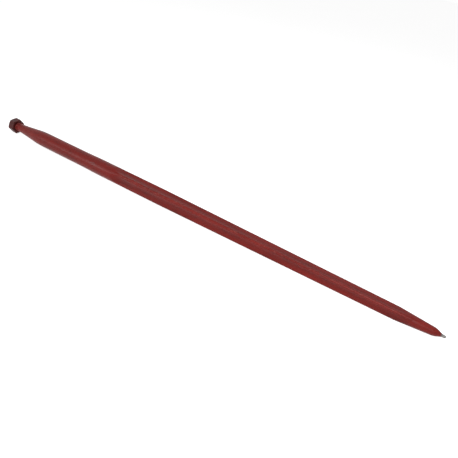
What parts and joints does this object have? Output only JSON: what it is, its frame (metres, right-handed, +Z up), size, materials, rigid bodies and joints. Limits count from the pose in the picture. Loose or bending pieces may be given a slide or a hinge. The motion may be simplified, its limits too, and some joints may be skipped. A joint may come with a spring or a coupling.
{
  "type": "bale spear",
  "caption": "Long forged bale spear, painted dark red: round shank, fluted tapering shaft and blunt nibbed point, with a taper seat and a threaded stud that carries a hex nut.",
  "frame": {"origin": "on the ground under the middle of the spear, as it lies at rest on its collar and its point", "axes": "+Z up, +X along the spear from the nut end towards the point, which leans about 0.6 degrees nose down; +Y to the left of the point"},
  "size_m": [1.245, 0.042, 0.0444],
  "materials": {
    "spear_paint": "semi-gloss dark red enamel over forged steel, bare at the nib",
    "nut_paint": "semi-gloss dark red enamel over a machined steel nut"
  },
  "bodies": {
    "root": {"spear": "spear_paint", "retaining_nut": "nut_paint"}
  },
  "joints": []
}
